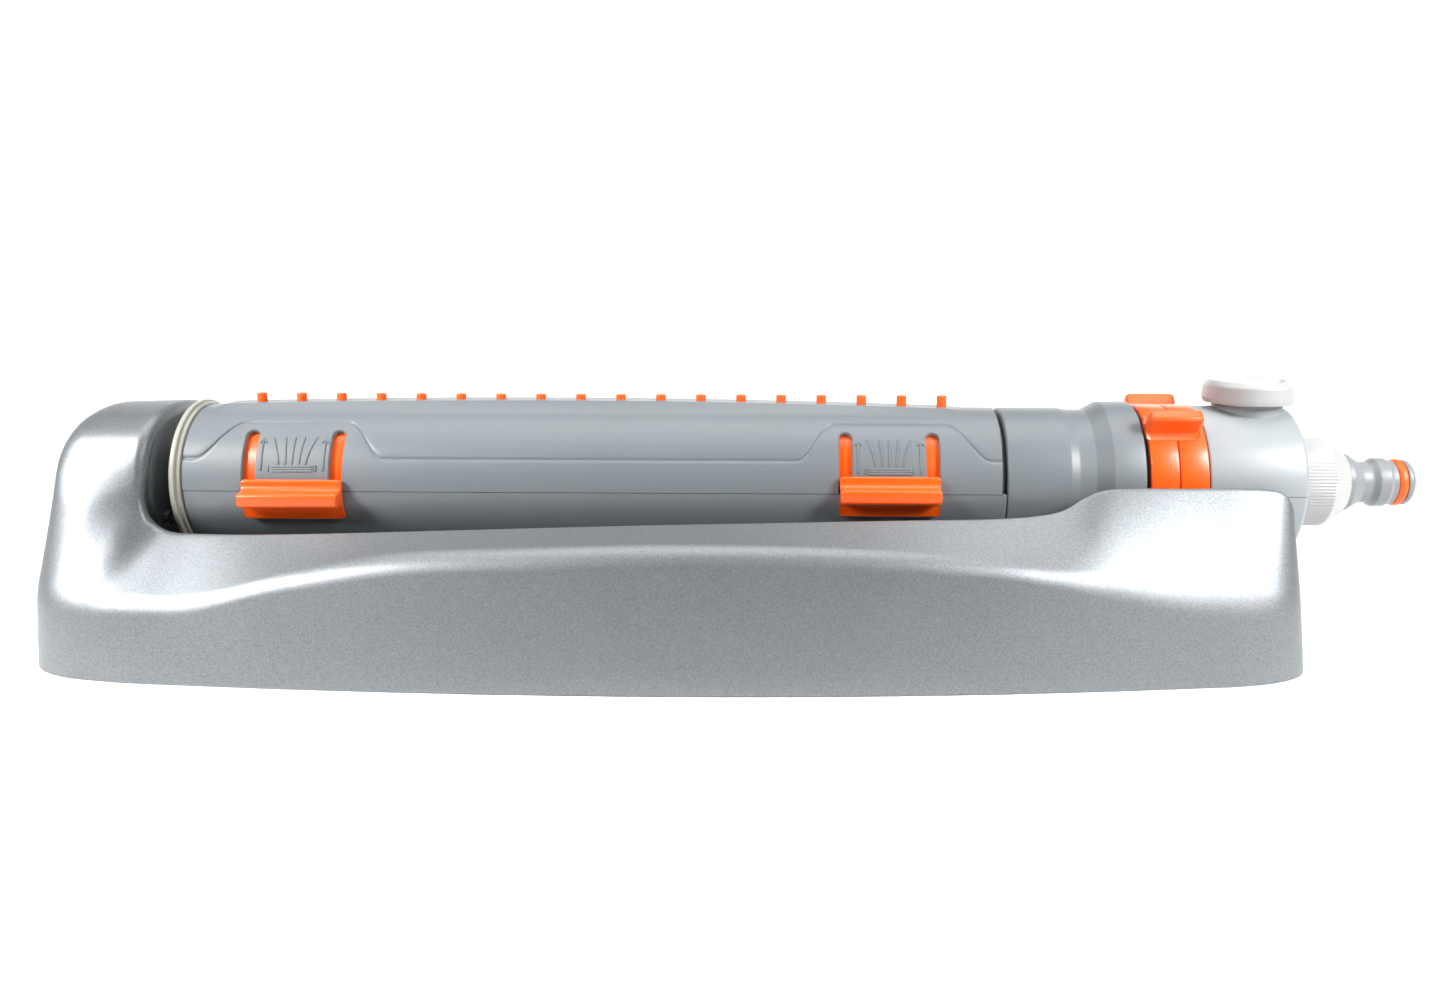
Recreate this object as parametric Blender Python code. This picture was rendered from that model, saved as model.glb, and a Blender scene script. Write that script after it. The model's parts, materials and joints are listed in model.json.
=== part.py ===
"""An oscillating lawn sprinkler: silver base, swinging spray tube, gear housing, hose connection.

Shapes are given in millimetres from the spray tube's axis: x runs along the tube towards the
hose, y to the rear and z up. Angles round the tube start at the front (-Y), and 90 is the top.
Every piece hangs from an empty on that axis, which stands AXIS_HEIGHT above the ground.
"""

import math

import bmesh
import bpy
import numpy as np

MM = 0.001
GAP = 0.3  # clearance between pieces that touch
MERGE = 1e-6

# Driving dimensions, in millimetres
AXIS_HEIGHT = 57.5
MIDDLE_X = -4.45  # the middle of the whole length, which comes to stand over the origin
WALL = 2.5
TUBE_R = 26.6
BODY_R = 23.7
BORE_R = 21.2
COVER_IN_R = 25.0
TUBE_LEFT = -196.4
COVER_RIGHT = 86.7
COLLAR_LEFT = 88.6
COLLAR_RIGHT = 135.6
NOZZLES = 18
NOZZLE_PITCH = 14.46
FIRST_NOZZLE = -177.3
NOZZLE_R = 1.8
SLIDER_CENTRES = {"left": -157.6, "right": 48.0}
SLIDER_TURNS = {"left": 0.0, "right": 4.0}  # how far each is pushed up at rest
HOOK_OFFSET = 15.05
RING_R = 28.0
RING_WIDTH = 9.8
DRUM_R = 25.8
HOUSING_LEFT = 157.5
HOUSING_RIGHT = 191.4
HOUSING_R = 27.6
HOUSING_IN_R = 25.2
KNOB_X = 178.2
NIPPLE_TIP = 238.5

# The gear train: compound wheels on two spindles, and a toothed ring in the tube's collar
MODULE = 0.5
PINION_TEETH = 9
WHEEL_TEETH = 24
RING_TEETH = 42
SPINDLE_OFFSET = MODULE * (PINION_TEETH + WHEEL_TEETH) / 2
SPINDLE_ANGLES = {"gear_1": 94.0, "gear_2": 154.0}  # about +X, from +Y

# Half of the base's outline, from the middle of the hose end round the front to the middle of
# the far end: rim, crease and foot of the skirt at each station
BASE_WIDEST_X = -24.0
BASE_HALF_WIDTH = 69.0
BASE_TAPER = {"left": 2.75e-4, "right": 3.55e-4}


def foot(x):
    """A point of the skirt's foot on the front: the half width falls off as two half parabolas."""
    away = x - BASE_WIDEST_X
    side = "left" if away < 0 else "right"
    return (x, BASE_TAPER[side] * away**2 - BASE_HALF_WIDTH, -AXIS_HEIGHT)


def station(rim, crease, low, knee=None):
    """Four points down the shell's side. Without a knee the shoulder is straight."""
    middle = [0.5 * (a + b) for a, b in zip(rim, crease)]
    return (rim, knee or middle, crease, low)


# Half of the outline, from the middle of the hose end round the front to the middle of the tower:
# rim, crease, foot of the skirt, and the knee where a shoulder bends
BASE_STATIONS = [
    station((186.5, 0, -30.0), (189.2, 0, -33.5), (191.5, 0, -AXIS_HEIGHT)),
    station((186.5, -16, -25.5), (189.0, -18, -33.0), (191.5, -19, -AXIS_HEIGHT)),
    station((186.0, -27, -13.0), (188.2, -32, -32.0), (190.2, -34, -AXIS_HEIGHT)),
    station((184.5, -31.8, -3.0), (184.8, -42, -31.5), (187.0, -45, -AXIS_HEIGHT)),
    station((180.0, -33.6, 3.0), (177.0, -48.5, -32.0), (178.0, -52, -AXIS_HEIGHT)),
    station((171.0, -34, 4.7), (165.0, -51.5, -31.5), foot(163)),
    station((150.0, -34, 4.7), (147.0, -53.5, -29.5), foot(145)),
    station((130.0, -34, 4.7), (129.0, -55.0, -26.0), foot(128)),
    station((119.0, -34, 4.0), (116.0, -56.0, -23.5), foot(116)),
    station((112.0, -34.4, 1.2), (107.0, -56.8, -21.8), foot(106)),
    station((103.0, -36.0, -3.2), (96.0, -57.6, -19.9), foot(94)),
    station((84.0, -38.4, -4.8), (80.0, -58.7, -17.4), foot(78)),
    station((50.0, -39, -5.5), (49.0, -59.9, -14.1), foot(48)),
    station((10.0, -39, -6.6), (11.0, -60.7, -12.0), foot(11)),
    station((-32.0, -39, -7.7), (-30.0, -61.0, -11.3), foot(-30)),
    station((-75.0, -39, -9.0), (-72.0, -60.6, -12.8), foot(-71)),
    station((-118.0, -39, -10.4), (-113.0, -59.6, -17.8), foot(-111)),
    station((-158.0, -38.8, -11.4), (-151.0, -58.2, -26.0), foot(-150)),
    station((-182.0, -37, -12.0), (-182.0, -56.8, -31.0), foot(-182)),
    station((-196.0, -34.8, -11.6), (-202.0, -55.5, -31.8), foot(-204)),
    station((-202.5, -34.2, -8.5), (-213.5, -54.6, -32.0), (-216.5, -58.0, -AXIS_HEIGHT)),
    station((-205.2, -34, -2.0), (-224.5, -53.0, -32.0), (-227.2, -55.3, -AXIS_HEIGHT), (-213.5, -39.6, -9.0)),
    station((-205.4, -33.6, 6.0), (-234.5, -49.0, -32.0), (-236.6, -50.6, -AXIS_HEIGHT), (-224.0, -37.5, -1.0)),
    station((-205.4, -31.5, 14.5), (-241.5, -42.0, -32.0), (-243.2, -43.2, -AXIS_HEIGHT), (-233.5, -32.5, 8.5)),
    station((-205.3, -27, 20.8), (-245.0, -32.0, -32.0), (-246.2, -32.7, -AXIS_HEIGHT), (-236.5, -26.0, 18.5)),
    station((-205.1, -19, 25.2), (-246.0, -21.0, -32.0), (-247.2, -21.5, -AXIS_HEIGHT), (-238.0, -17.5, 23.8)),
    station((-204.9, -9.5, 27.2), (-246.2, -10.5, -32.0), (-247.4, -10.5, -AXIS_HEIGHT), (-238.5, -8.8, 26.2)),
    station((-204.8, 0, 27.8), (-246.2, 0, -32.0), (-247.4, 0, -AXIS_HEIGHT), (-238.5, 0, 27.0)),
]
BASE_SPANS = 2  # steps between two stations
KNEE_ROUND = 8.0
CREASE_ROUND = 10.0


# ---- materials


def finish(name, colour, roughness, metallic=0.0):
    """A plain Principled material, its colour given in linear values."""
    material = bpy.data.materials.new(name)
    material.use_nodes = True
    shader = material.node_tree.nodes["Principled BSDF"]
    shader.inputs["Base Color"].default_value = (*colour, 1.0)
    shader.inputs["Roughness"].default_value = roughness
    shader.inputs["Metallic"].default_value = metallic
    material.diffuse_color = (*colour, 1.0)
    return material


# ---- shape helpers: each makes one object from points in millimetres


def add_piece(name, points, faces, material, at=(0.0, 0.0, 0.0)):
    """One object from points and faces, its doubles merged and its faces turned outwards."""
    mesh = bpy.data.meshes.new(name)
    mesh.from_pydata((np.asarray(points, float) * MM).tolist(), [], faces)
    shape = bmesh.new()
    shape.from_mesh(mesh)
    bmesh.ops.remove_doubles(shape, verts=shape.verts, dist=MERGE)
    bmesh.ops.recalc_face_normals(shape, faces=shape.faces)
    shape.to_mesh(mesh)
    shape.free()
    mesh.materials.append(material)
    mesh.shade_smooth()
    mesh.set_sharp_from_angle(angle=math.radians(35))
    obj = bpy.data.objects.new(name, mesh)
    bpy.context.collection.objects.link(obj)
    obj.parent = bpy.data.objects["tube_axis"]
    obj.location = [value * MM for value in at]
    return obj


def ring_faces(rings, points, rings_close, points_close):
    """Quads between neighbouring rings of a grid, as index tuples."""
    faces = []
    for i in range(rings if rings_close else rings - 1):
        for j in range(points if points_close else points - 1):
            k, m = (i + 1) % rings, (j + 1) % points
            faces.append((i * points + j, i * points + m, k * points + m, k * points + j))
    return faces


def turned(name, outline, material, at=(0.0, 0.0, 0.0), span=None, steps=32, axis="x"):
    """A turned piece from an outline of (along, radius) points.

    An outline that starts on the axis isn't closed along it. A span of two angles in degrees
    makes a sector with flat ends instead of a full turn.
    """
    outline = np.asarray(outline, float)
    solid = outline[0, 1] == 0.0
    first, last = span or (0.0, 360.0)
    count = steps + 1 if span else steps
    turns = np.radians(first + (last - first) * np.arange(count) / steps)
    along = np.broadcast_to(outline[:, 0], (count, len(outline)))
    across = -np.cos(turns)[:, None] * outline[:, 1]
    up = np.sin(turns)[:, None] * outline[:, 1]
    order = (along, across, up) if axis == "x" else (across, up, along)
    points = np.stack(order, axis=-1).reshape(-1, 3)
    faces = ring_faces(count, len(outline), not span, not solid)
    if span:
        faces.append(tuple(range(len(outline))))
        faces.append(tuple(range((count - 1) * len(outline), count * len(outline))))
    return add_piece(name, points, faces, material, at)


def prism(name, outline, low, high, material, at=(0.0, 0.0, 0.0)):
    """An outline of (y, z) points extruded along x from low to high."""
    outline = np.asarray(outline, float)
    count = len(outline)
    ends = [np.column_stack([np.full(count, x), outline]) for x in (low, high)]
    faces = ring_faces(2, count, False, True)
    faces.append(tuple(range(count)))
    faces.append(tuple(range(count, 2 * count)))
    return add_piece(name, np.concatenate(ends), faces, material, at)


def box(name, low, high, material, at=(0.0, 0.0, 0.0)):
    """A rectangular block between two corners."""
    outline = [(low[1], low[2]), (high[1], low[2]), (high[1], high[2]), (low[1], high[2])]
    return prism(name, outline, low[0], high[0], material, at)


def rods(name, centres, radius, low, high, material, sides=10, axis="z"):
    """Parallel rods with one height, centred on (x, y) points, or on (y, z) points along x."""
    turns = np.radians(360 / sides * np.arange(sides))
    circle = radius * np.column_stack([np.cos(turns), np.sin(turns)])
    points, faces = [], []
    for centre in centres:
        start = len(points)
        for end in (low, high):
            for a, b in circle + np.asarray(centre, float):
                points.append((a, b, end) if axis == "z" else (end, a, b))
        for face in ring_faces(2, sides, False, True):
            faces.append(tuple(start + index for index in face))
        faces.append(tuple(range(start, start + sides)))
        faces.append(tuple(range(start + sides, start + 2 * sides)))
    return add_piece(name, points, faces, material)


def change(target, tool, operation):
    """Adds or cuts the tool's shape, and leaves the tool out of the model."""
    modifier = target.modifiers.new(tool.name, "BOOLEAN")
    modifier.operation = operation
    modifier.solver = "EXACT"
    modifier.object = tool
    tool.hide_render = True
    tool.display_type = "WIRE"


def join(target, *tools):
    for tool in tools:
        change(target, tool, "UNION")


def cut(target, *tools):
    for tool in tools:
        change(target, tool, "DIFFERENCE")


def arc(radius, first, last, steps):
    """Points of (y, z) on a circle round the tube, between two angles from the front."""
    turns = np.radians(np.linspace(first, last, steps + 1))
    return [(-radius * math.cos(t), radius * math.sin(t)) for t in turns]


def screw(name, x, y, low, high, material, shank=1.4, head=2.8, head_height=1.9):
    """A vertical screw with its head at the bottom."""
    outline = [(low, 0), (low, head), (low + head_height, head), (low + head_height, shank)]
    outline += [(high, shank), (high, 0)]
    return turned(name, outline, material, at=(x, y, 0), steps=8, axis="z")


# ---- gear teeth


def gear_outline(teeth, tip, root, slack, phase):
    """Involute teeth as (y, z) points, with a tooth centred on the phase angle.

    A flank leaves the base circle and the tooth narrows towards its tip. Slack is the thickness
    taken off at the pitch circle for backlash, and a negative one widens the tooth, for a cutter.
    """
    pressure = math.radians(20)
    pitch_r = teeth * MODULE / 2
    base_r = pitch_r * math.cos(pressure)
    half = (math.pi * MODULE / 2 - slack) / (2 * pitch_r)

    def spread(radius):
        slope = math.acos(min(1.0, base_r / radius))
        return half + (math.tan(pressure) - pressure) - (math.tan(slope) - slope)

    start = max(base_r, root)
    flank = [(radius, spread(radius)) for radius in (start, tip)]
    if root < base_r:
        flank.insert(0, (root, flank[0][1]))
    points = []
    for tooth in range(teeth):
        centre = phase + 2 * math.pi * tooth / teeth
        for radius, turn in flank:
            points.append((radius * math.cos(centre - turn), radius * math.sin(centre - turn)))
        for radius, turn in reversed(flank):
            points.append((radius * math.cos(centre + turn), radius * math.sin(centre + turn)))
    return points


def outer_gear(teeth, phase):
    """A gear's outline with standard teeth and a little backlash."""
    pitch_r = teeth * MODULE / 2
    return gear_outline(teeth, pitch_r + 0.85 * MODULE, pitch_r - 1.15 * MODULE, 0.12, phase)


def meshing_phase(direction, teeth, phase, mate_teeth):
    """Phase of a mate that lies in this direction, its gap facing the first gear's tooth."""
    offset = (direction - phase) * teeth / (2 * math.pi)
    return direction + math.pi - (2 * math.pi / mate_teeth) * (0.5 - offset)


def spindle_place(gear):
    """The (y, z) point of a gear's spindle."""
    angle = math.radians(SPINDLE_ANGLES[gear])
    return SPINDLE_OFFSET * math.cos(angle), SPINDLE_OFFSET * math.sin(angle)


# ---- the base


def curve_through(stations, spans):
    """A closed Catmull-Rom curve through the stations, with this many steps between two."""
    stations = np.asarray(stations, float)
    before, after = np.roll(stations, 1, 0), np.roll(stations, -1, 0)
    beyond = np.roll(stations, -2, 0)
    steps = []
    for t in np.arange(spans) / spans:
        steps.append(
            stations
            + 0.5 * t * (after - before)
            + 0.5 * t**2 * (2 * before - 5 * stations + 4 * after - beyond)
            + 0.5 * t**3 * (3 * stations - before - 3 * after + beyond)
        )
    return np.stack(steps, axis=1).reshape(-1, 3)


def fillet(before, corner, after, radius, steps):
    """Rows of points that round a corner of every station, as a rational quadratic curve.

    Where the corner is almost straight, the rows still reach a fifth of the shorter leg.
    """
    back, on = before - corner, after - corner
    reach_back, reach_on = (np.linalg.norm(leg, axis=1) for leg in (back, on))
    back, on = back / reach_back[:, None], on / reach_on[:, None]
    half = 0.5 * np.arccos(np.clip((back * on).sum(axis=1), -1, 1))
    short = np.minimum(reach_back, reach_on)
    reach = np.clip(radius / np.tan(half), 0.2 * short, 0.48 * short)[:, None]
    rows = []
    for t in np.linspace(0, 1, steps + 1):
        near, mid, far = (1 - t) ** 2, 2 * t * (1 - t) * np.sin(half)[:, None], t * t
        total = near * (corner + reach * back) + mid * corner + far * (corner + reach * on)
        rows.append(total / (near + mid + far))
    return rows


def base_surface():
    """The base's outer skin as a grid: stations round the outline, rows from rim to foot."""
    half = np.asarray(BASE_STATIONS, float)
    mirrored = half[-2:0:-1] * (1, -1, 1)
    stations = np.concatenate([half, mirrored])
    rim, knee, crease, low = (curve_through(stations[:, i], BASE_SPANS) for i in range(4))
    low[:, 2] = -AXIS_HEIGHT
    rows = [rim, *fillet(rim, knee, crease, KNEE_ROUND, 1)]
    rows += [*fillet(knee, crease, low, CREASE_ROUND, 2), low]
    return np.stack(rows, axis=1)


def surface_normals(grid):
    """Unit normals of a grid that closes along its first index, pointing away from the middle."""
    along = np.roll(grid, -1, 0) - np.roll(grid, 1, 0)
    normals = np.cross(along, np.gradient(grid, axis=1))
    normals /= np.linalg.norm(normals, axis=2, keepdims=True)
    outward = (normals[:, -1, :2] * grid[:, -1, :2]).sum()
    return normals * math.copysign(1.0, outward)


def base_shell(silver):
    """The moulded base: a ring of skirt and shoulder, open underneath, with two screw bosses."""
    skin = base_surface()
    inside = skin - WALL * surface_normals(skin)
    inside[:, -1, 2] = -AXIS_HEIGHT
    section = np.concatenate([skin, inside[:, ::-1]], axis=1)
    stations, rows = section.shape[:2]
    faces = ring_faces(stations, rows, True, True)
    shell = add_piece("base_shell", section.reshape(-1, 3), faces, silver)
    for side in (-1, 1):
        tube = [(-242.2, 0), (-242.2, 3.5), (-213.3, 3.5), (-213.3, 1.8), (-236.4, 1.8), (-236.4, 0)]
        boss = turned(f"bearing_boss_{side}", tube, silver, (0, side * 15, -12), steps=16)
        join(shell, boss)


def tower_parts(grey, steel):
    """The bearing plate inside the tall end, which carries the tube's journal."""
    bore = [(-213, 8.0), (-213, 24), (-209, 24), (-209, 11), (-206.5, 11), (-206.5, 8.0)]
    plate = turned("tower_bearing", bore, grey)
    leg = box("bearing_leg", (-213, -12, -50), (-209.2, 12, -20), grey)
    join(plate, leg)
    places = [(-15, -12), (15, -12)]
    cut(plate, rods("bearing_holes", places, 1.8, -215, -205, grey, 12, "x"))
    for letter, (y, z) in zip("ab", places):
        outline = [(-232, 0), (-232, 1.4), (-208.7, 1.4), (-208.7, 2.8), (-206.8, 2.8), (-206.8, 0)]
        turned(f"tower_screw_{letter}", outline, steel, (0, y, z), steps=12)


def saddle(grey, steel):
    """The block in the hose end that the gear housing lies in, with its two screws."""
    cradle = [(28 * math.sin(t), -28 * math.cos(t)) for t in np.radians(np.linspace(-48, 48, 13))]
    outline = [*cradle, (26, -20), (26, -46), (42.5, -46), (42.5, -50)]
    outline += [(-42.5, -50), (-42.5, -46), (-26, -46), (-26, -20)]
    block = prism("saddle_bracket", outline, 164, 183, grey)
    places = [(173.5, -9), (173.5, 9)]
    cut(block, rods("saddle_holes", places, 1.8, -60, -10, grey))
    for letter, (x, y) in zip("ab", places):
        screw(f"saddle_screw_{letter}", x, y, -52.3, -19.5, steel)
    return places


# ---- the gear housing and what it holds


def housing(pale, steel, saddle_places):
    """Two half shells that part at the tube's axis, drawn together by four screws from below."""
    wall = [(HOUSING_LEFT, HOUSING_R), (HOUSING_RIGHT, HOUSING_R), (HOUSING_RIGHT, 13.4)]
    wall += [(189, 13.4), (189, HOUSING_IN_R), (160, HOUSING_IN_R), (160, 26.1), (HOUSING_LEFT, 26.1)]
    upper = turned("housing_upper", wall, pale, span=(0.35, 179.65), steps=24)
    lower = turned("housing_lower", wall, pale, span=(180.35, 359.65), steps=24)
    places = [(x, y) for x in (167.5, 184) for y in (-20.3, 20.3)]
    join(upper, rods("upper_bosses", places, 2.9, GAP, 13, pale))
    join(lower, rods("lower_bosses", places, 2.9, -13.5, -GAP, pale))
    boss = turned("knob_boss", [(22, 0), (22, 12.0), (28.9, 12.0), (28.9, 0)], pale, (KNOB_X, 0, 0), axis="z")
    join(upper, boss)
    cut(upper, rods("upper_holes", places, 1.7, -1, 10, pale))
    cut(upper, rods("stem_bore", [(KNOB_X, 0)], 6.3, 15, 35, pale, 24))
    cut(lower, rods("lower_holes", places, 1.7, -14, 1, pale))
    cut(lower, rods("head_pockets", places, 3.1, -30, -12.8, pale))
    cut(lower, rods("saddle_threads", saddle_places, 1.8, -30, -15, pale))
    for number, (x, y) in enumerate(places, 1):
        screw(f"housing_screw_{number}", x, y, -15.0, 9.0, steel)


def flow_valve(grey, white, rubber):
    """The flow knob on its plug, the valve body round it and the stem's seal."""
    body = box("valve_body", (171, -12, -17), (186.7, 12, 18), grey)
    cut(body, rods("plug_bore", [(KNOB_X, 0)], 7.3, -14, 20, grey, 24))
    cut(body, rods("water_way", [(0, 0)], 4.5, 165, 190, grey, 16, "x"))
    plug_outline = [(-13.6, 0), (-13.6, 7.0), (17, 7.0), (17, 4.0), (34.6, 4.0), (34.6, 0)]
    plug = turned("valve_plug", plug_outline, grey, (KNOB_X, 0, 0), steps=24, axis="z")
    cut(plug, rods("plug_port", [(0, 0)], 4.5, 165, 190, grey, 16, "x"))
    seal = [(24, 4.3), (24, 6.0), (26.2, 6.0), (26.2, 4.3)]
    turned("stem_seal", seal, rubber, (KNOB_X, 0, 0), steps=24, axis="z")
    knob = [(37.4, 0), (37.4, 13.4), (36.9, 14.9), (35.8, 15.5), (30, 15.7), (29.2, 14.9)]
    knob += [(29.2, 4.3), (35, 4.3), (35, 0)]
    turned("flow_knob", knob, white, (KNOB_X, 0, 0), axis="z")


def drive(grey, acetal, steel, rubber):
    """The water wheel and the two compound gears in their case, and the toothed ring they drive."""
    gear_1, gear_2 = (math.radians(SPINDLE_ANGLES[gear]) for gear in ("gear_1", "gear_2"))
    one, two = spindle_place("gear_1"), spindle_place("gear_2")
    between = math.atan2(two[1] - one[1], two[0] - one[0])

    case = [(139.5, 1.2), (139.5, 22.5), (154, 22.5), (154, 20.5), (141.5, 20.5), (141.5, 1.2)]
    case = turned("gear_case", case, grey)
    cut(case, rods("case_bore_1", [one], 1.2, 138, 143, grey, 12, "x"))
    cut(case, rods("case_bore_2", [two], 3.2, 138, 143, grey, 16, "x"))
    cover = [(154.3, 1.9), (154.3, 22.2), (156.2, 22.2), (156.2, 11), (161, 11), (161, 1.9)]
    cover = turned("case_cover", cover, grey)
    cut(cover, rods("cover_bores", [one, two], 1.2, 153, 157.5, grey, 12, "x"))
    for number, low, place in ((1, 139.8, one), (2, 130.9, two)):
        rods(f"gear_spindle_{number}", [place], 1.0, low, 157.2, steel, 12, "x")

    wheel_1 = meshing_phase(gear_1, PINION_TEETH, 0.0, WHEEL_TEETH)
    wheel_2 = meshing_phase(between, PINION_TEETH, 0.0, WHEEL_TEETH)
    compound_gear("gear_1", one, wheel_1, (148.5, 152), (142.3, 152), acetal)
    compound_gear("gear_2", two, wheel_2, (143, 147), (131.2, 147), acetal)

    turbine = prism("turbine_wheel", outer_gear(PINION_TEETH, 0.0), 148.5, 152, acetal)
    shaft = [(149, 0), (149, 1.6), (164, 1.6), (164, 5), (170, 5), (170, 0)]
    paddles = []
    for blade in range(12):
        turn = 30.0 * blade
        paddles += arc(15.0, turn - 4, turn + 4, 1) + arc(6.0, turn + 8, turn + 22, 1)
    join(turbine, turned("turbine_shaft", shaft, acetal, steps=24))
    join(turbine, prism("turbine_paddles", paddles, 164.3, 169.5, acetal))

    stator = turned("stator_plate", [(161.3, 1.9), (161.3, 24.8), (163.3, 24.8), (163.3, 1.9)], grey)
    cut(stator, rods("water_jets", arc(12, 45, 315, 3), 2.0, 160, 165, grey, 12, "x"))

    offset = gear_2 * PINION_TEETH / (2 * math.pi)
    ring_phase = gear_2 - offset * 2 * math.pi / RING_TEETH
    pitch_r = RING_TEETH * MODULE / 2
    gaps = gear_outline(RING_TEETH, pitch_r + 1.2 * MODULE, pitch_r - 0.75 * MODULE, -0.12, ring_phase)
    output = [(130.6, 0), (130.6, 13.6), (136.8, 13.6), (136.8, 0)]
    output = turned("output_gear", output, acetal)
    cut(output, prism("ring_gaps", gaps, 125, 140, acetal))
    turned("output_seal", [(137.3, 15), (137.3, 22), (139.2, 22), (139.2, 15)], rubber, steps=24)


def compound_gear(name, place, wheel_phase, wheel_span, pinion_span, acetal):
    """A wheel and a pinion in one piece, bored for its spindle and placed on it."""
    at = (0.0, *place)
    gear = prism(name, outer_gear(WHEEL_TEETH, wheel_phase), *wheel_span, acetal, at)
    join(gear, prism(f"{name}_pinion", outer_gear(PINION_TEETH, 0.0), *pinion_span, acetal, at))
    cut(gear, rods(f"{name}_bore", [place], 1.3, 120, 170, acetal, 12, "x"))


def reversing_parts(orange, grey, steel):
    """The drum that trips the reversing flap, and the two range rings that turn on it."""
    drum = [(137.4, 22.9), (137.4, DRUM_R), (158.6, DRUM_R), (158.6, 13.5), (156.6, 13.5), (156.6, 22.9)]
    turned("trip_drum", drum, grey)
    turned("reversing_flap", [(158.9, 12), (158.9, 20), (160.7, 20), (160.7, 12)], grey, span=(60, 120), steps=6)
    turned("snap_spring", [(158.9, 21.5), (158.9, 22.3), (160.7, 22.3), (160.7, 21.5)], steel, span=(235, 305), steps=8)
    rings = (("a", 147.3, 129.0, 140.8, 159.2), ("b", 137.2, 50.0, 136.2, 154.8))
    for letter, left, angle, tab_left, tab_right in rings:
        right = left + RING_WIDTH
        band = [(left, 26.1), (left, RING_R), (right, RING_R), (right, 26.1)]
        ring = turned(f"range_ring_{letter}", band, orange)
        tab = [(left + 1, 27), (left + 1, RING_R + GAP), (tab_left, RING_R + GAP), (tab_left, 35.0)]
        tab += [(tab_left + 1.5, 36.5), (tab_right - 1.5, 36.5), (tab_right, 35.0)]
        tab += [(tab_right, RING_R + GAP), (right - 1, RING_R + GAP), (right - 1, 27)]
        join(ring, turned(f"tab_{letter}", tab, orange, span=(angle - 4.4, angle + 4.4), steps=2))


# ---- the hose connection


def hose_parts(grey, white, orange, rubber, mesh_steel):
    """Threaded spigot, filter, washer, union nut and the quick-connect nipple with its O-ring."""
    spigot = [(187.1, 8), (187.1, 17), (188.7, 17), (188.7, 13.0), (203, 13.0), (203, 8)]
    turned("inlet_spigot", spigot, grey)
    cup = [(192, 0), (192, 7.5), (202.8, 7.5), (202.8, 6.7), (193, 6.7), (193, 0)]
    turned("filter_screen", cup, mesh_steel, steps=24)
    turned("hose_washer", [(203.3, 8), (203.3, 12.9), (205.3, 12.9), (205.3, 8)], rubber, steps=24)
    nut = [(191.8, 13.4), (191.8, 16), (206.2, 16), (213.4, 11.2), (213.4, 10.8), (208.6, 10.8)]
    nut += [(208.6, 13.4)]
    turned("union_nut", nut, white)
    nipple = [(205.6, 5), (205.6, 12.9), (208.2, 12.9), (208.2, 10.4), (215.3, 10.4)]
    nipple += [(220.2, 7.3), (223.9, 7.3), (225.2, 8.75), (229.4, 8.75), (230.6, 8.1), (232.2, 8.1)]
    nipple += [(232.2, 6.9), (235.8, 6.9), (235.8, 8.1), (237.4, 8.1), (NIPPLE_TIP, 7.0), (NIPPLE_TIP, 5)]
    turned("hose_nipple", nipple, grey)
    turns = np.radians(np.arange(0, 360, 45))
    section = [(234 + 1.5 * math.cos(t), 7.7 + 0.65 * math.sin(t)) for t in turns]
    turned("nipple_o_ring", section, orange, steps=24)


# ---- the spray tube


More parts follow.
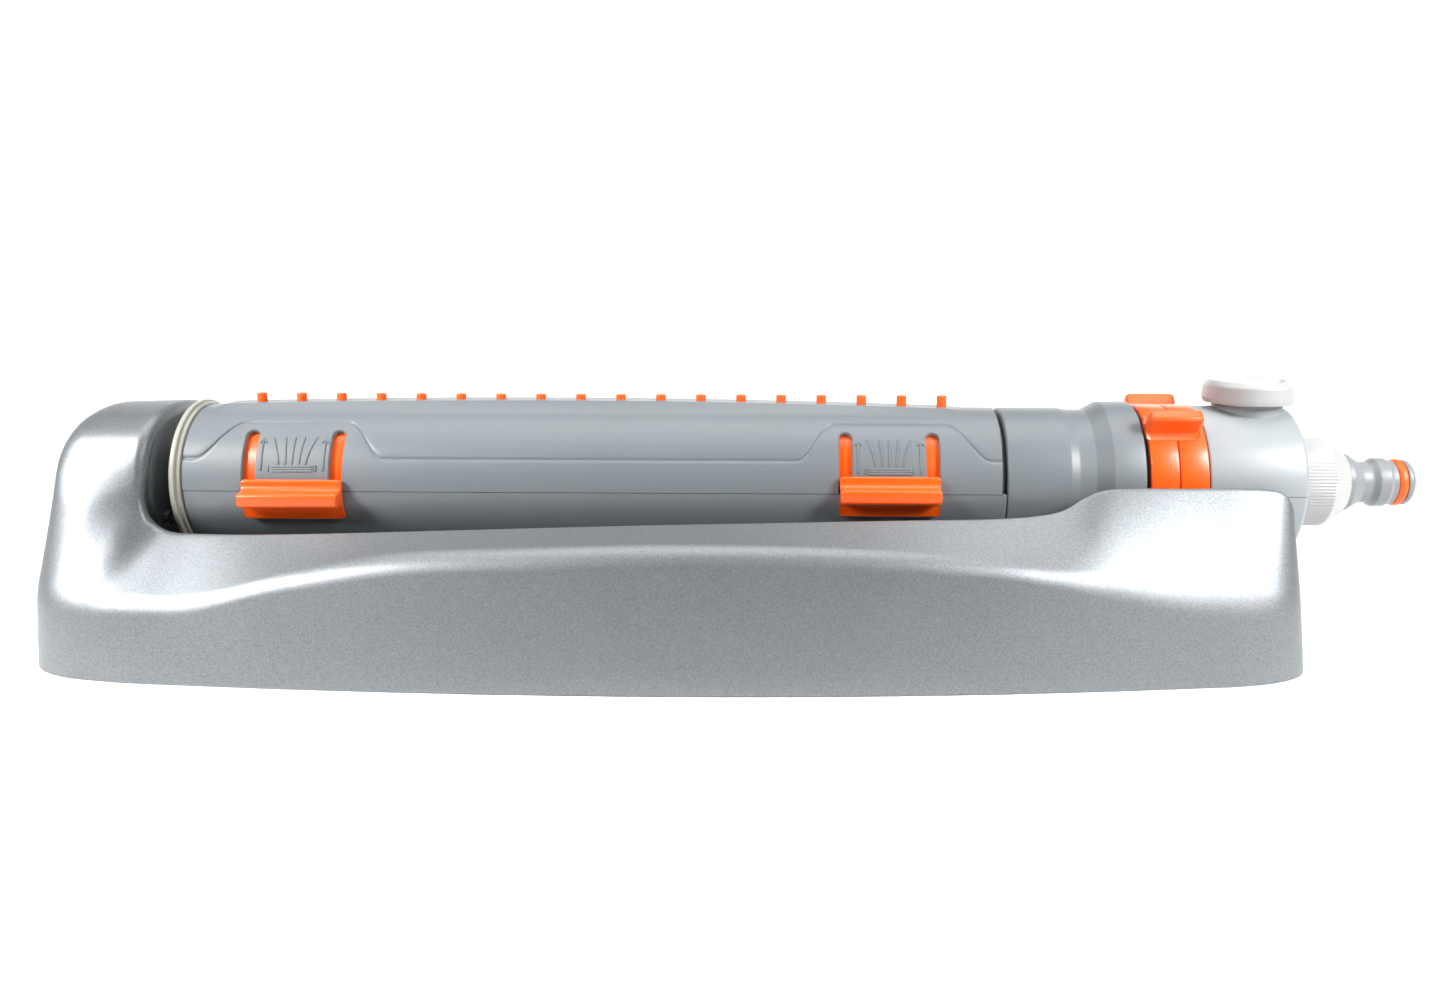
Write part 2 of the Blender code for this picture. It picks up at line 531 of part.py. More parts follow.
def spray_tube(grey, ring_grey, orange, rubber, nozzle_places):
    """The swinging tube: pressure body, cover with its raised bar, nozzle strip and both ends."""
    section = arc(BODY_R, 0, 180, 16) + arc(TUBE_R, 180, 360, 16)
    body = prism("tube_body", section, TUBE_LEFT, COLLAR_LEFT - GAP, grey)
    bore = arc(BORE_R, 0, 360, 32)[:-1]
    cut(body, prism("tube_bore", bore, TUBE_LEFT - 5, COLLAR_LEFT + 5, grey))
    port = math.radians(68)
    port_x = [(x, -22.4 * math.cos(port)) for x, _ in nozzle_places]
    cut(body, rods("feed_ports", port_x, 1.2, 15, 24, grey, 6))

    wall = [(TUBE_LEFT, COVER_IN_R), (TUBE_LEFT, TUBE_R), (COVER_RIGHT, TUBE_R), (COVER_RIGHT, COVER_IN_R)]
    cover = turned("tube_cover", wall, grey, span=(0.7, 179.3), steps=24)
    flank = math.degrees(math.acos(10 / 25.8))
    bar = [(-7.2, 26.7), (-5.2, 28.7), (-4.4, 29.0), (4.4, 29.0), (5.2, 28.7), (7.2, 26.7)]
    bar += arc(25.8, 180 - flank, flank, 8)
    join(cover, prism("nozzle_bar", bar, -190, 77, grey))
    cut(cover, box("strip_channel", (-186, -4.4, 20), (73, 4.4, 27.2), grey))
    cut(cover, rods("nozzle_holes", nozzle_places, 2.2, 26, 30, grey, 8))
    for side, centre in SLIDER_CENTRES.items():
        for offset in (-HOOK_OFFSET, HOOK_OFFSET):
            x = centre + offset
            slot = [(x - 2.25, 24), (x - 2.25, 28), (x + 2.25, 28), (x + 2.25, 24)]
            cut(cover, turned(f"slot_{side}_{offset:.0f}", slot, grey, span=(-6, 49), steps=8))

    strip = box("nozzle_strip", (-185.6, -4.1, 25.3), (72.6, 4.1, 26.9), orange)
    join(strip, rods("nozzle_tips", nozzle_places, NOZZLE_R, 26, 31, orange, 8))
    cut(strip, rods("nozzle_bores", nozzle_places, 0.7, 24, 33, orange, 6))

    flange = [(-214.5, 0), (-214.5, 7.7), (-200.4, 7.7), (-200.4, 27.3), (-199.4, 28.3)]
    flange += [(-197.7, 28.3), (-196.7, 27.3), (-196.7, 20.9), (-193.6, 20.9), (-193.6, 18.7)]
    flange += [(-190.4, 18.7), (-190.4, 20.9), (-187, 20.9), (-187, 0)]
    turned("end_flange", flange, ring_grey)
    turned("end_seal", [(-193.3, 19), (-193.3, 20.9), (-190.7, 20.9), (-190.7, 19)], rubber, steps=24)

    collar = [(COLLAR_LEFT, 20.9), (COLLAR_LEFT, TUBE_R), (110, TUBE_R), (114, 25.8), (119, 25.8)]
    collar += [(125.5, 28.6), (126.5, 29), (COLLAR_RIGHT, 29), (COLLAR_RIGHT, 20), (130.3, 20)]
    collar += [(130.3, 8), (127.3, 8), (127.3, 18), (80, 18), (80, 20.9), (83.4, 20.9)]
    collar += [(83.4, 18.9), (86.6, 18.9), (86.6, 20.9)]
    turned("end_collar", collar, grey)
    turned("collar_seal", [(83.7, 19.2), (83.7, 20.9), (86.3, 20.9), (86.3, 19.2)], rubber, steps=24)


def width_slider(side, centre, turn, orange):
    """A handle outside the tube with two hooks through the slots, and the shutter under the cover."""
    plate = [(centre - 17, 26.9), (centre - 17, 28.2), (centre - 16.5, 28.7)]
    plate += [(centre + 16.5, 28.7), (centre + 17, 28.2), (centre + 17, 26.9)]
    handle = turned(f"slider_{side}", plate, orange, span=(turn - 20, turn + 9), steps=6)
    ridge = [(centre - 18, 28.2), (centre - 18, 32.5), (centre - 16.5, 34)]
    ridge += [(centre + 16.5, 34), (centre + 18, 32.5), (centre + 18, 28.2)]
    join(handle, turned(f"ridge_{side}", ridge, orange, span=(turn - 7, turn + 1), steps=2))
    for offset in (-HOOK_OFFSET, HOOK_OFFSET):
        x = centre + offset
        hook = [(x - 1.8, 25.0), (x - 1.8, 27.8), (x + 1.8, 27.8), (x + 1.8, 25.0)]
        join(handle, turned(f"hook_{side}_{offset:.0f}", hook, orange, span=(turn + 1.5, turn + 7), steps=1))
    sheet = [(centre - 25, 24.0), (centre - 25, 24.7), (centre + 25, 24.7), (centre + 25, 24.0)]
    turned(f"shutter_{side}", sheet, orange, span=(turn + 1, turn + 56), steps=12)


def main():
    """Clears the scene and builds every piece."""
    for obj in list(bpy.data.objects):
        bpy.data.objects.remove(obj)
    axis = bpy.data.objects.new("tube_axis", None)
    bpy.context.collection.objects.link(axis)
    axis.location = (-MIDDLE_X * MM, 0, AXIS_HEIGHT * MM)

    silver = finish("silver paint on ABS", (0.42, 0.43, 0.44), 0.3, 0.6)
    grey = finish("grey ABS", (0.24, 0.26, 0.27), 0.4)
    ring_grey = finish("warm grey ABS", (0.5, 0.5, 0.46), 0.4)
    pale = finish("pale grey ABS", (0.42, 0.44, 0.45), 0.4)
    orange = finish("orange ABS", (0.95, 0.1, 0.01), 0.3)
    white = finish("white ABS", (0.85, 0.86, 0.86), 0.35)
    rubber = finish("black rubber", (0.03, 0.03, 0.03), 0.7)
    steel = finish("zinc-plated steel", (0.6, 0.6, 0.58), 0.3, 1.0)
    acetal = finish("natural acetal", (0.8, 0.8, 0.75), 0.4)

    nozzle_places = [(FIRST_NOZZLE + NOZZLE_PITCH * i, 0.0) for i in range(NOZZLES)]
    base_shell(silver)
    tower_parts(grey, steel)
    saddle_places = saddle(grey, steel)
    housing(pale, steel, saddle_places)
    flow_valve(grey, white, rubber)
    drive(grey, acetal, steel, rubber)
    reversing_parts(orange, grey, steel)
    hose_parts(grey, white, orange, rubber, steel)
    spray_tube(grey, ring_grey, orange, rubber, nozzle_places)
    for side, centre in SLIDER_CENTRES.items():
        width_slider(side, centre, SLIDER_TURNS[side], orange)


main()
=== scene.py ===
"""The looks of an oscillating lawn sprinkler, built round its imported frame.

Shapes are worked out in millimetres from the spray swing's place: x runs along the tube towards
the hose, y to the rear and z up. Angles round the tube are in degrees from the front (-y), and 90 is
the top. place() turns them into the frame's metres.
"""

import json
import math

import bmesh
import bpy
import numpy as np
from mathutils import Matrix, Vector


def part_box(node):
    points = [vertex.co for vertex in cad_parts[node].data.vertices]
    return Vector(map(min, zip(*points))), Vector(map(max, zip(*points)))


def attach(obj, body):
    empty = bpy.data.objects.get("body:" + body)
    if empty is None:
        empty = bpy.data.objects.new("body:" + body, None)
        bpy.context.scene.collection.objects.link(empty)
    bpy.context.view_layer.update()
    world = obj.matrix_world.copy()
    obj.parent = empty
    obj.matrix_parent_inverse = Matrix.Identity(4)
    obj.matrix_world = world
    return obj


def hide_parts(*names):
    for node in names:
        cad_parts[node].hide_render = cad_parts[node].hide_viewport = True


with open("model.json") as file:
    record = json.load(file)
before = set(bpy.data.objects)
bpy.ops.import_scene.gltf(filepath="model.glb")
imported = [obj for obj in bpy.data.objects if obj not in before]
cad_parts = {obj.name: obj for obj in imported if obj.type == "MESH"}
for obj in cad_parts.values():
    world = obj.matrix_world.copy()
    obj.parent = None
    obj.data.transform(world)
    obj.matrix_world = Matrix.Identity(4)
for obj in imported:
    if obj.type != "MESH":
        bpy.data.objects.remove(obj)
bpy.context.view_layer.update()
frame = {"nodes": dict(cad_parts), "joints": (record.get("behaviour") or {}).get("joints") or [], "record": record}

MM = 0.001
JOINTS = {joint["name"]: joint for joint in frame["joints"]}
AXIS = np.array(JOINTS["spray_swing"]["pos_m"])
FLOOR = -AXIS[2] / MM


def span(node):
    """A node's lowest and highest x, in millimetres."""
    low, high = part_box(node)
    return (low[0] - AXIS[0]) / MM, (high[0] - AXIS[0]) / MM


def radius(node):
    """How far a turned node reaches from the tube's axis, in millimetres."""
    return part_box(node)[1][1] / MM


COVER_LEFT, COVER_RIGHT = span("tube_cover")
COLLAR_LEFT, COLLAR_RIGHT = COVER_RIGHT + 1.9, span("end_collar")[1]
FLANGE_RIGHT = COVER_LEFT - 0.3
HOUSING_LEFT, HOUSING_RIGHT = span("housing_upper")
NIPPLE_TIP = span("hose_nipple")[1]
TUBE_R = radius("tube_body")
KNOB_X = sum(span("flow_knob")) / 2


# ---- making a mesh from arrays


def place(points):
    """Millimetres from the tube's axis, as metres in the frame."""
    return np.asarray(points, float) * MM + AXIS


def polar(x, angle, r):
    """Points at an angle in degrees and a distance from the tube's axis, as (..., 3)."""
    x, angle, r = np.broadcast_arrays(x, np.radians(angle), r)
    return np.stack([x, -r * np.cos(angle), r * np.sin(angle)], axis=-1)


def quads(n, m, wrap_n, wrap_m):
    """Corner indices of the quads of an n by m grid."""
    i = np.arange(n if wrap_n else n - 1)[:, None]
    j = np.arange(m if wrap_m else m - 1)[None, :]
    k, q = (i + 1) % n, (j + 1) % m
    return np.stack([i * m + j, i * m + q, k * m + q, k * m + j], axis=-1).reshape(-1, 4)


def mesh_from(name, parts, sharp=32.0):
    """One mesh from parts, each a (grid, wrap_n, wrap_m, caps) of a surface.

    Caps close the first and the last row of the grid. Doubles are merged, the faces are turned
    outwards and the edges sharper than the angle stay crisp.
    """
    shape = bmesh.new()
    for grid, wrap_n, wrap_m, caps in parts:
        n, m = grid.shape[:2]
        mesh = bpy.data.meshes.new("part")
        mesh.vertices.add(n * m)
        mesh.vertices.foreach_set("co", place(grid).reshape(-1))
        faces = quads(n, m, wrap_n, wrap_m)
        mesh.loops.add(faces.size)
        mesh.loops.foreach_set("vertex_index", faces.reshape(-1))
        mesh.polygons.add(len(faces))
        mesh.polygons.foreach_set("loop_start", np.arange(len(faces)) * 4)
        mesh.update(calc_edges=True)
        start = len(shape.verts)
        shape.from_mesh(mesh)
        bpy.data.meshes.remove(mesh)
        shape.verts.ensure_lookup_table()
        if caps:
            shape.faces.new(shape.verts[start : start + m])
            shape.faces.new(shape.verts[start + (n - 1) * m : start + n * m])
    bmesh.ops.remove_doubles(shape, verts=shape.verts, dist=2e-7)
    bmesh.ops.recalc_face_normals(shape, faces=shape.faces)
    mesh = bpy.data.meshes.new(name)
    shape.to_mesh(mesh)
    shape.free()
    mesh.shade_smooth()
    mesh.set_sharp_from_angle(angle=math.radians(sharp))
    return mesh


def add_piece(name, mesh, material, body, slot, *nodes):
    """A finished piece: it rides on its body and stands for the nodes named."""
    obj = bpy.data.objects.new(name, mesh)
    bpy.context.collection.objects.link(obj)
    mesh.materials.append(material)
    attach(obj, body)
    if nodes:
        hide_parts(*nodes)
    return obj


def rounded(points, closed=True, steps=4):
    """An outline whose corners are circular arcs. Each point is (a, b, radius of its corner).

    An arc from q0 to q2 round a corner p is the rational quadratic curve through them whose
    middle weight is the sine of half the corner's angle.
    """
    out = []
    count = len(points)
    for i, (a, b, r) in enumerate(points):
        p = np.array([a, b], float)
        if r <= 0 or (not closed and i in (0, count - 1)):
            out.append(p)
            continue
        before = np.array(points[i - 1][:2], float) - p
        after = np.array(points[(i + 1) % count][:2], float) - p
        d0, d2 = np.linalg.norm(before), np.linalg.norm(after)
        before, after = before / d0, after / d2
        half = 0.5 * math.acos(float(np.clip(before @ after, -1, 1)))
        reach = min(r / math.tan(half), 0.48 * d0, 0.48 * d2)
        weight = math.sin(half)
        for t in np.linspace(0, 1, steps + 1):
            w = np.array([(1 - t) ** 2, 2 * t * (1 - t) * weight, t * t])
            corners = np.stack([p + before * reach, p, p + after * reach])
            out.append(w @ corners / w.sum())
    return np.array(out)


def lathe(outline, steps=128, first=0.0, last=360.0, centre=(0.0, 0.0)):
    """A part turned from an outline of (x, r), for mesh_from.

    It turns round the tube's axis, or round a line beside it at centre's (y, z). Point (i, j) is
    outline point j turned by angle i. Outlines that touch the axis stay open there, and a turn of
    less than 360 degrees gets flat ends.
    """
    outline = np.asarray(outline, float)
    full = last - first >= 360.0
    count = steps if full else steps + 1
    angles = first + (last - first) * np.arange(count) / steps
    grid = polar(outline[None, :, 0], angles[:, None], outline[None, :, 1])
    grid = grid + np.array([0.0, *centre])
    return (grid, full, outline[0, 1] > 0 or outline[-1, 1] > 0, not full)


def upright(outline, steps, x, y=0.0):
    """A part turned round a vertical line at (x, y) from an outline of (z, r), for mesh_from."""
    outline = np.asarray(outline, float)
    angles = 2 * np.pi * np.arange(steps)[:, None] / steps
    r, z = outline[None, :, 1], np.broadcast_to(outline[None, :, 0], (steps, len(outline)))
    grid = np.stack([x + r * np.cos(angles), y + r * np.sin(angles), z], axis=-1)
    return (grid, True, outline[0, 1] > 0 or outline[-1, 1] > 0, False)


def swept(section, base_angle, base_r, x_low, x_high, round_x=1.0, steps=5):
    """A bar along x on the tube: its section of (arc length, height) is bent round the tube.

    The ends are rounded: near an end at a distance d inside it, the section shrinks towards its
    middle by round_x * (1 - sqrt(1 - (1 - d / round_x)^2)).
    """
    section = np.asarray(section, float)
    middle = section.mean(axis=0)
    inset = round_x * (1 - np.cos(np.linspace(0, np.pi / 2, steps + 1)))
    shrink = round_x * (1 - np.sin(np.linspace(0, np.pi / 2, steps + 1)))
    xs = np.concatenate([x_low + inset, (x_high - inset)[::-1]])
    pull = np.concatenate([shrink, shrink[::-1]])[:, None, None]
    away = section - middle
    size = np.linalg.norm(away, axis=1, keepdims=True)
    shape = section[None] - away / size * np.minimum(pull, 0.9 * size)
    angle = base_angle + np.degrees(shape[..., 0] / (base_r + 1.0))
    return (polar(xs[:, None], angle, base_r + shape[..., 1]), False, True, True)


def smooth_step(value, low, high):
    """0 below low, 1 above high and 3t^2 - 2t^3 between."""
    t = np.clip((np.asarray(value, float) - low) / (high - low), 0, 1)
    return t * t * (3 - 2 * t)


# ---- materials


def linear(colour):
    """A hex sRGB colour as linear RGBA."""
    values = np.array([int(colour[i : i + 2], 16) for i in (0, 2, 4)]) / 255
    values = np.where(values <= 0.04045, values / 12.92, ((values + 0.055) / 1.055) ** 2.4)
    return (*values.tolist(), 1.0)


def add_node(tree, kind, sockets=None, **settings):
    """One node with its settings; a socket takes a value, or a link from another node's socket."""
    new = tree.nodes.new(kind)
    for key, value in settings.items():
        setattr(new, key, value)
    for key, value in (sockets or {}).items():
        if isinstance(value, bpy.types.NodeSocket):
            tree.links.new(value, new.inputs[key])
        else:
            new.inputs[key].default_value = value
    return new


def per_mm(size):
    """A noise scale whose features are this many millimetres across."""
    return 1.0 / (size * MM)


def new_material(name):
    """An empty material with its shader and the object's coordinates."""
    material = bpy.data.materials.new(name)
    material.use_nodes = True
    tree = material.node_tree
    tree.nodes.clear()
    shader = add_node(tree, "ShaderNodeBsdfPrincipled")
    out = add_node(tree, "ShaderNodeOutputMaterial", {"Surface": shader.outputs["BSDF"]})
    out.location = (600, 0)
    where = add_node(tree, "ShaderNodeTexCoord").outputs["Object"]
    return material, tree, shader, where


def moulded_plastic(name, colour, shade, rough, grain_mm, grain, coat=0.0):
    """Injection-moulded plastic: a fine spark-eroded grain, with slow flow marks in its colour."""
    material, tree, shader, where = new_material(name)
    flow = add_node(
        tree, "ShaderNodeTexNoise", {"Vector": where, "Scale": per_mm(38), "Detail": 3.0, "Roughness": 0.5}
    )
    tint = add_node(
        tree,
        "ShaderNodeMix",
        {"Factor": flow.outputs["Fac"], "A": linear(shade), "B": linear(colour)},
        data_type="RGBA",
    )
    tree.links.new(tint.outputs["Result"], shader.inputs["Base Color"])
    fine = add_node(
        tree, "ShaderNodeTexNoise", {"Vector": where, "Scale": per_mm(grain_mm), "Detail": 2.0}
    )
    spread = add_node(
        tree,
        "ShaderNodeMapRange",
        {"Value": flow.outputs["Fac"], "To Min": rough - 0.04, "To Max": rough + 0.05},
    )
    tree.links.new(spread.outputs["Result"], shader.inputs["Roughness"])
    bump = add_node(
        tree,
        "ShaderNodeBump",
        {"Height": fine.outputs["Fac"], "Strength": grain, "Distance": 0.00006},
    )
    tree.links.new(bump.outputs["Normal"], shader.inputs["Normal"])
    shader.inputs["IOR"].default_value = 1.52
    shader.inputs["Coat Weight"].default_value = coat
    shader.inputs["Coat Roughness"].default_value = 0.12
    return material


def silver_paint(name):
    """Sprayed aluminium-flake paint: flakes of a few tenths of a millimetre under orange peel.

    The flakes are drawn coarser than the real 0.05 mm, so that they show.
    """
    material, tree, shader, where = new_material(name)
    flakes = add_node(
        tree, "ShaderNodeTexNoise", {"Vector": where, "Scale": per_mm(0.55), "Detail": 1.0, "Roughness": 0.6}
    )
    cloud = add_node(tree, "ShaderNodeTexNoise", {"Vector": where, "Scale": per_mm(22), "Detail": 3.0})
    sparkle = add_node(
        tree,
        "ShaderNodeMapRange",
        {"Value": flakes.outputs["Fac"], "From Min": 0.35, "From Max": 0.65},
    )
    tint = add_node(
        tree,
        "ShaderNodeMix",
        {"Factor": sparkle.outputs["Result"], "A": linear("787C7F"), "B": linear("8A8E91")},
        data_type="RGBA",
    )
    tree.links.new(tint.outputs["Result"], shader.inputs["Base Color"])
    spread = add_node(
        tree,
        "ShaderNodeMapRange",
        {"Value": cloud.outputs["Fac"], "To Min": 0.4, "To Max": 0.48},
    )
    tree.links.new(spread.outputs["Result"], shader.inputs["Roughness"])
    peel = add_node(tree, "ShaderNodeTexNoise", {"Vector": where, "Scale": per_mm(1.6), "Detail": 2.0})
    bump = add_node(
        tree,
        "ShaderNodeBump",
        {"Height": peel.outputs["Fac"], "Strength": 0.12, "Distance": 0.00008},
    )
    tree.links.new(bump.outputs["Normal"], shader.inputs["Normal"])
    shader.inputs["Metallic"].default_value = 0.6
    return material


def plated_steel(name):
    """Zinc-plated steel with fine scratches along the piece."""
    material, tree, shader, where = new_material(name)
    stretch = add_node(tree, "ShaderNodeMapping", {"Vector": where, "Scale": (0.15, 1.0, 1.0)})
    lines = add_node(
        tree, "ShaderNodeTexNoise", {"Vector": stretch.outputs["Vector"], "Scale": per_mm(0.4), "Detail": 3.0}
    )
    spread = add_node(
        tree, "ShaderNodeMapRange", {"Value": lines.outputs["Fac"], "To Min": 0.22, "To Max": 0.42}
    )
    tree.links.new(spread.outputs["Result"], shader.inputs["Roughness"])
    shader.inputs["Base Color"].default_value = linear("B9BAB6")
    shader.inputs["Metallic"].default_value = 1.0
    return material


SILVER = silver_paint("silver_flake_paint_on_moulded_abs")
GREY = moulded_plastic("cool_grey_abs_moulded", "757B7F", "70767A", 0.4, 0.35, 0.22)
PALE = moulded_plastic("pale_grey_abs_moulded", "A0A5A8", "979DA0", 0.38, 0.35, 0.2)
WARM_GREY = moulded_plastic("warm_grey_abs_moulded", "A9A99D", "9E9E93", 0.36, 0.4, 0.2)
MID_GREY = moulded_plastic("mid_grey_abs_moulded", "8B8E91", "85888B", 0.4, 0.35, 0.2)
ORANGE = moulded_plastic("orange_abs_moulded", "FF6410", "F95508", 0.3, 0.5, 0.12, coat=0.25)
WHITE = moulded_plastic("white_abs_moulded", "B8B9B8", "B0B1B0", 0.34, 0.4, 0.15)
BLACK_RUBBER = moulded_plastic("black_nitrile_rubber_moulded", "1B1B1C", "141415", 0.6, 0.3, 0.3)
SOFT_ORANGE = moulded_plastic("orange_silicone_rubber_moulded", "FF6A14", "F85A0A", 0.42, 0.3, 0.25)
STEEL = plated_steel("zinc_plated_steel_turned")
ACETAL = moulded_plastic("natural_acetal_moulded", "E9E8DF", "DEDDD3", 0.38, 0.5, 0.12)
FINISHES = {
    "silver_shell": SILVER,
    "grey_abs": GREY,
    "pale_abs": PALE,
    "warm_grey_abs": WARM_GREY,
    "orange_abs": ORANGE,
    "white_abs": WHITE,
    "rubber": BLACK_RUBBER,
    "orange_rubber": SOFT_ORANGE,
    "steel": STEEL,
    "acetal": ACETAL,
}


def dress_nodes():
    """Every node of the frame gets the finish of its slot, for those that stay in sight."""
    for entry in frame["record"]["subparts"]:
        node = frame["nodes"][entry["node"]]
        node.data.materials.clear()
        node.data.materials.append(FINISHES[entry["material_slot"]])


# ---- the base


BASE_WIDEST_X = -24.0
BASE_HALF_WIDTH = 69.0
BASE_TAPER = {"left": 2.75e-4, "right": 3.55e-4}


def foot(x):
    """A point of the skirt's foot on the front: the half width falls off as two half parabolas."""
    away = x - BASE_WIDEST_X
    side = "left" if away < 0 else "right"
    return (x, BASE_TAPER[side] * away**2 - BASE_HALF_WIDTH, FLOOR)


def station(rim, crease, low, knee=None):
    """Four points down the shell's side. Without a knee the shoulder is straight."""
    middle = [0.5 * (a + b) for a, b in zip(rim, crease)]
    return (rim, knee or middle, crease, low)


# Half of the outline, from the middle of the hose end round the front to the middle of the tower:
# rim, crease, foot of the skirt, and the knee where a shoulder bends
BASE_STATIONS = [
    station((186.5, 0, -30.0), (189.2, 0, -33.5), (191.5, 0, FLOOR)),
    station((186.5, -16, -25.5), (189.0, -18, -33.0), (191.5, -19, FLOOR)),
    station((186.0, -27, -13.0), (188.2, -32, -32.0), (190.2, -34, FLOOR)),
    station((184.5, -31.8, -3.0), (184.8, -42, -31.5), (187.0, -45, FLOOR)),
    station((180.0, -33.6, 3.0), (177.0, -48.5, -32.0), (178.0, -52, FLOOR)),
    station((171.0, -34, 4.7), (165.0, -51.5, -31.5), foot(163)),
    station((150.0, -34, 4.7), (147.0, -53.5, -29.5), foot(145)),
    station((130.0, -34, 4.7), (129.0, -55.0, -26.0), foot(128)),
    station((119.0, -34, 4.0), (116.0, -56.0, -23.5), foot(116)),
    station((112.0, -34.4, 1.2), (107.0, -56.8, -21.8), foot(106)),
    station((103.0, -36.0, -3.2), (96.0, -57.6, -19.9), foot(94)),
    station((84.0, -38.4, -4.8), (80.0, -58.7, -17.4), foot(78)),
    station((50.0, -39, -5.5), (49.0, -59.9, -14.1), foot(48)),
    station((10.0, -39, -6.6), (11.0, -60.7, -12.0), foot(11)),
    station((-32.0, -39, -7.7), (-30.0, -61.0, -11.3), foot(-30)),
    station((-75.0, -39, -9.0), (-72.0, -60.6, -12.8), foot(-71)),
    station((-118.0, -39, -10.4), (-113.0, -59.6, -15.2), foot(-111)),
    station((-158.0, -38.8, -11.4), (-151.0, -58.2, -23.0), foot(-150)),
    station((-182.0, -37, -12.0), (-182.0, -56.8, -31.0), foot(-182)),
    station((-196.0, -34.8, -11.6), (-202.0, -55.5, -31.8), foot(-204)),
    station((-202.5, -34.2, -8.5), (-213.5, -54.6, -32.0), (-216.5, -58.0, FLOOR)),
    station((-205.2, -34, -2.0), (-224.5, -53.0, -32.0), (-227.2, -55.3, FLOOR), (-213.5, -39.6, -9.0)),
    station((-205.4, -33.6, 6.0), (-234.5, -49.0, -32.0), (-236.6, -50.6, FLOOR), (-224.0, -37.5, -1.0)),
    station((-205.4, -31.5, 14.5), (-241.5, -42.0, -32.0), (-243.2, -43.2, FLOOR), (-233.5, -32.5, 8.5)),
    station((-205.3, -27, 20.8), (-245.0, -32.0, -32.0), (-246.2, -32.7, FLOOR), (-236.5, -26.0, 18.5)),
    station((-205.1, -19, 25.2), (-246.0, -21.0, -32.0), (-247.2, -21.5, FLOOR), (-238.0, -17.5, 23.8)),
    station((-204.9, -9.5, 27.2), (-246.2, -10.5, -32.0), (-247.4, -10.5, FLOOR), (-238.5, -8.8, 26.2)),
    station((-204.8, 0, 27.8), (-246.2, 0, -32.0), (-247.4, 0, FLOOR), (-238.5, 0, 27.0)),
]
BASE_WALL = 2.4
KNEE_ROUND = 9.0
CREASE_ROUND = 9.0
RIM_ROLL = 1.6
TOWER_RIM_ROLL = 3.5
FOOT_WIDTH = 1.8


def curve_through(stations, spans):
    """A closed Catmull-Rom curve through the stations, with this many steps between two."""
    before, after = np.roll(stations, 1, 0), np.roll(stations, -1, 0)
    beyond = np.roll(stations, -2, 0)
    steps = []
    for t in np.arange(spans) / spans:
        steps.append(
            stations
            + 0.5 * t * (after - before)
            + 0.5 * t**2 * (2 * before - 5 * stations + 4 * after - beyond)
            + 0.5 * t**3 * (3 * stations - before - 3 * after + beyond)
        )
    return np.stack(steps, axis=1).reshape(-1, stations.shape[1])


def unit(vectors):
    """The vectors at length 1."""
    return vectors / np.linalg.norm(vectors, axis=-1, keepdims=True)


def corner_rows(p0, p1, p2, r, steps):
    """Rows of a circular fillet of radius r where p0-p1 meets p1-p2, for every station at once.

    Where the corner is almost straight, the rows still reach a fifth of the shorter side.
    """
    before, after = p0 - p1, p2 - p1
    d0, d2 = (np.linalg.norm(side, axis=1) for side in (before, after))
    before, after = unit(before), unit(after)
    half = 0.5 * np.arccos(np.clip((before * after).sum(axis=1), -1, 1))
    short = np.minimum(1.8 * d0, d2)
    reach = np.clip(r / np.tan(half), 0.2 * short, 0.48 * short)[:, None]
    weight = np.sin(half)[:, None]
    rows = []
    for t in np.linspace(0, 1, steps + 1):
        a, b, c = (1 - t) ** 2, 2 * t * (1 - t) * weight, t * t
        rows.append((a * (p1 + before * reach) + b * p1 + c * (p1 + after * reach)) / (a + b + c))
    return rows


def base_grid(spans):
    """The outer skin: stations round the outline, rows from the rolled rim down to the foot.

    Each station's row runs out of the hollow round the rim's roll, over the shoulder with its
    knee, round the crease and down the skirt. The roll grows where the rim goes round the tower.
    """
    half = np.array(BASE_STATIONS, float)
    stations = np.concatenate([half, half[-2:0:-1] * (1, -1, 1)])
    rim, knee, crease, low = (curve_through(stations[:, i], spans) for i in range(4))
    low[:, 2] = FLOOR
    tangent = np.roll(rim, -1, 0) - np.roll(rim, 1, 0)
    out = unit(np.cross(tangent, knee - rim))
    out *= np.sign((out * (low - rim) * (1, 1, 0)).sum(axis=1) + 60 * out[:, 2])[:, None]
    roll = RIM_ROLL + (TOWER_RIM_ROLL - RIM_ROLL) * smooth_step(-rim[:, 0], 186, 203)
    tuck = rim - out * (roll * 2.4)[:, None]
    rows = corner_rows(tuck, rim, knee, roll, 8)
    bent = corner_rows(rows[-1], knee, crease, KNEE_ROUND, 10)
    round_crease = corner_rows(bent[-1], crease, low, CREASE_ROUND, 12)
    for start, end, steps in ((rows[-1], bent[0], 8), (bent[-1], round_crease[0], 8)):
        rows += [start + (end - start) * t for t in np.linspace(0, 1, steps)[1:-1]]
        rows += bent if end is bent[0] else round_crease
    skirt_top = round_crease[-1]
    rows += [skirt_top + (low - skirt_top) * t for t in np.linspace(0, 1, 8)[1:-1]]
    rows.append(low + unit(skirt_top - low) * 1.2)
    rows.append(low + unit(skirt_top - low) * 0.35 - unit(low * (1, 1, 0)) * 0.15)
    rows.append(low - unit(low * (1, 1, 0)) * 0.8)
    return np.stack(rows, axis=1)


